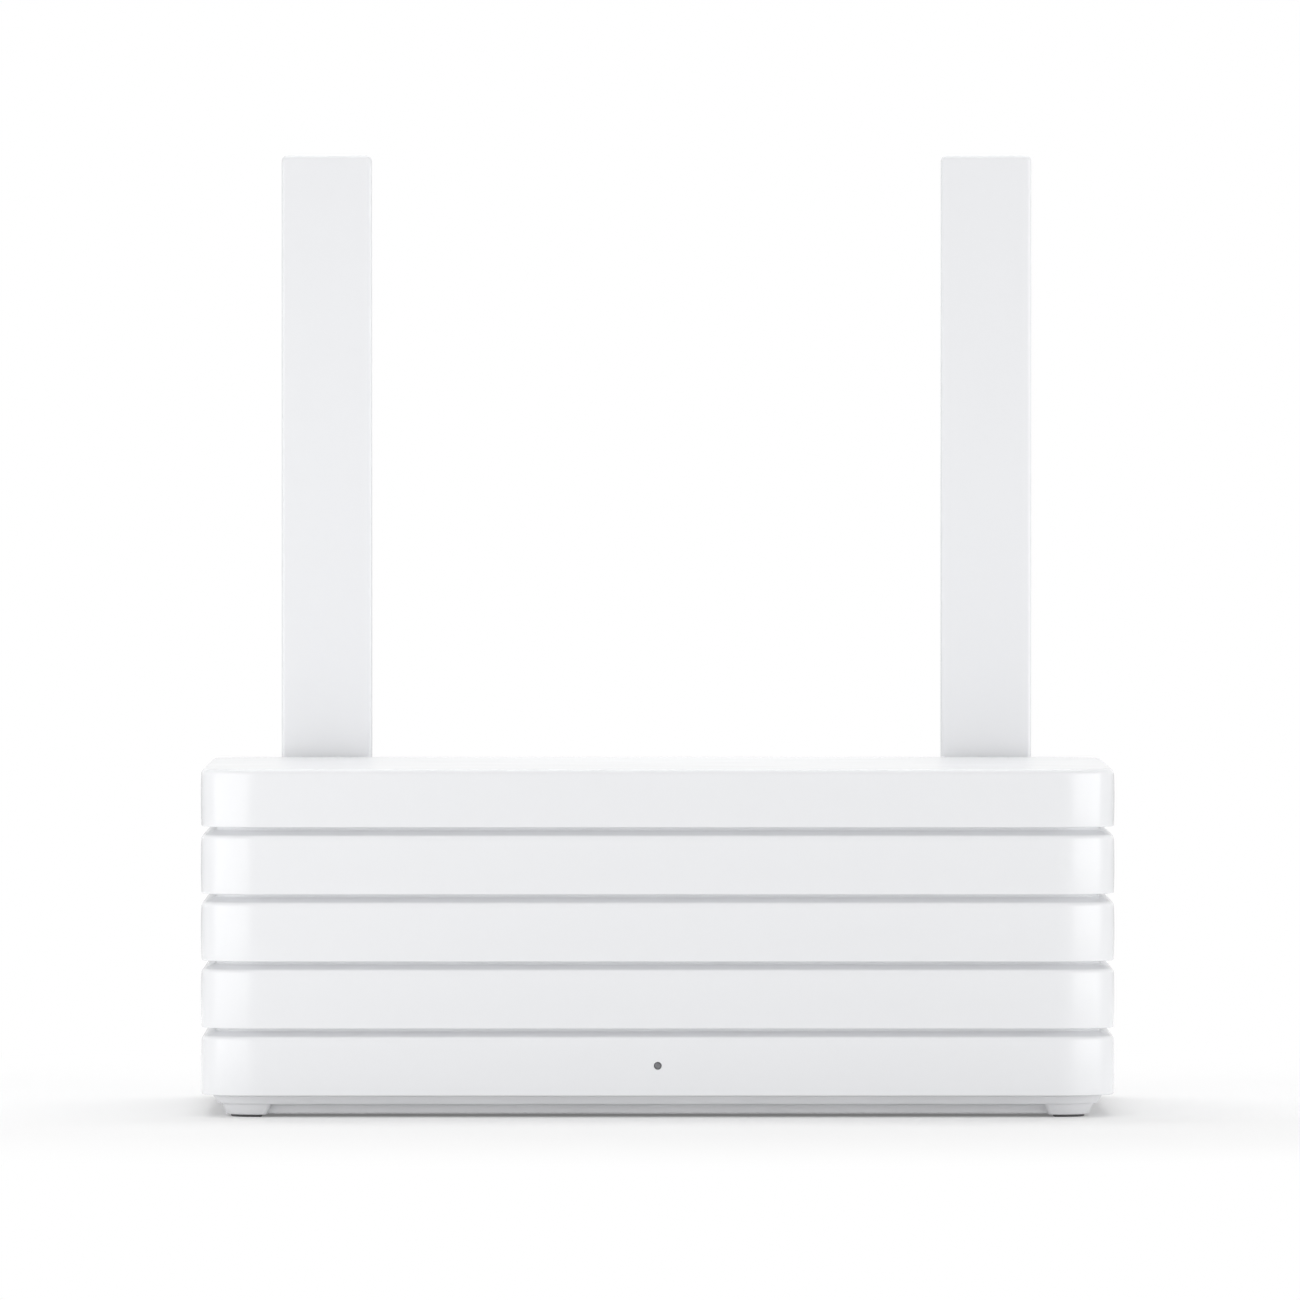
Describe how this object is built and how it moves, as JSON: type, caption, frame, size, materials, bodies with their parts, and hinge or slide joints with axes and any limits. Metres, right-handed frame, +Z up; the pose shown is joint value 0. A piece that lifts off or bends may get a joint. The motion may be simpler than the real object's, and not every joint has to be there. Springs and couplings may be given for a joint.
{
  "type": "wireless router",
  "caption": "White desktop wireless router: ribbed rounded box on small feet, with upright blade antennas that fold back, network, USB and power sockets at the rear.",
  "frame": {"origin": "on the floor, under the middle of the whole object's box, between the foot pads", "axes": "+Z up, X across the body with the status light's side seen from -Y, +Y towards the rear panel and the antennas"},
  "size_m": [0.2, 0.148, 0.2115],
  "materials": {
    "body_gloss_white": "glossy moulded white plastic with soft reflections",
    "antenna_gloss_white": "glossy moulded white plastic, slightly softer than the body",
    "satin_white": "fine-textured satin white plastic",
    "pad_rubber": "soft pale grey rubber",
    "socket_black": "satin black moulded plastic",
    "socket_blue": "satin blue moulded plastic",
    "sheet_steel": "bright plated sheet steel",
    "screw_steel": "plated machined steel",
    "board_green": "green solder resist on glass fibre board",
    "chip_black": "moulded black component bodies",
    "fan_black": "black glass-filled plastic",
    "lead_black": "flexible black cable jacket",
    "cast_aluminium": "as-cast and anodised aluminium",
    "thermal_pad": "soft pink silicone pad",
    "light_smoke": "smoke-tinted clear plastic, unlit",
    "lamp_yellow": "small lamp body with a yellow phosphor"
  },
  "bodies": {
    "housing": {"base_tray": "satin_white", "board_screw_1": "screw_steel", "board_screw_2": "screw_steel", "board_screw_3": "screw_steel", "board_screw_4": "screw_steel", "case_screw_1": "screw_steel", "case_screw_2": "screw_steel", "case_screw_3": "screw_steel", "case_screw_4": "screw_steel", "drive_body": "cast_aluminium", "drive_bracket": "sheet_steel", "drive_cover": "sheet_steel", "drive_header": "socket_black", "drive_lead": "lead_black", "drive_plug": "lead_black", "drive_screw_1": "screw_steel", "drive_screw_2": "screw_steel", "drive_screw_3": "screw_steel", "drive_screw_4": "screw_steel", "fan_frame": "fan_black", "filter_capacitor": "cast_aluminium", "foot_pad_front_left": "pad_rubber", "foot_pad_front_right": "pad_rubber", "foot_pad_rear_left": "pad_rubber", "foot_pad_rear_right": "pad_rubber", "lan_jack_1": "socket_black", "lan_jack_2": "socket_black", "left_case_lead": "lead_black", "left_hinge_bracket": "satin_white", "main_board": "board_green", "network_transformer": "chip_black", "power_jack": "socket_black", "power_jack_pin": "screw_steel", "processor_chip": "chip_black", "processor_heatsink": "cast_aluminium", "radio_shield_left": "sheet_steel", "radio_shield_right": "sheet_steel", "rear_panel": "satin_white", "reset_switch": "chip_black", "ribbed_shell": "body_gloss_white", "right_case_lead": "lead_black", "right_hinge_bracket": "satin_white", "status_lamp": "lamp_yellow", "status_light_pipe": "light_smoke", "thermal_pad": "thermal_pad", "usb_socket": "sheet_steel", "usb_tongue": "socket_blue", "wan_jack": "socket_blue"},
    "fan": {"fan_rotor": "fan_black"},
    "reset": {"reset_button": "satin_white"},
    "left_antenna": {"left_antenna_front_cover": "antenna_gloss_white", "left_antenna_back_cover": "antenna_gloss_white", "left_antenna_element": "board_green", "left_antenna_lead": "lead_black", "left_hinge_pin": "screw_steel"},
    "right_antenna": {"right_antenna_front_cover": "antenna_gloss_white", "right_antenna_back_cover": "antenna_gloss_white", "right_antenna_element": "board_green", "right_antenna_lead": "lead_black", "right_hinge_pin": "screw_steel"}
  },
  "joints": [
    {"name": "left_antenna_fold", "type": "hinge", "parent": "housing", "child": "left_antenna", "pos_m": [-0.0743, 0.0705, 0.024], "axis": [-1, 0, 0], "range_deg": [0, 90]},
    {"name": "right_antenna_fold", "type": "hinge", "parent": "housing", "child": "right_antenna", "pos_m": [0.0743, 0.0705, 0.024], "axis": [-1, 0, 0], "range_deg": [0, 90]},
    {"name": "reset_press", "type": "slide", "parent": "housing", "child": "reset", "axis": [0, -1, 0], "range_m": [0, 0.0005], "stiffness_N_per_m": 600},
    {"name": "fan_spin", "type": "hinge", "parent": "housing", "child": "fan", "pos_m": [0, 0.0573, 0.046], "axis": [0, 1, 0], "continuous": true}
  ]
}
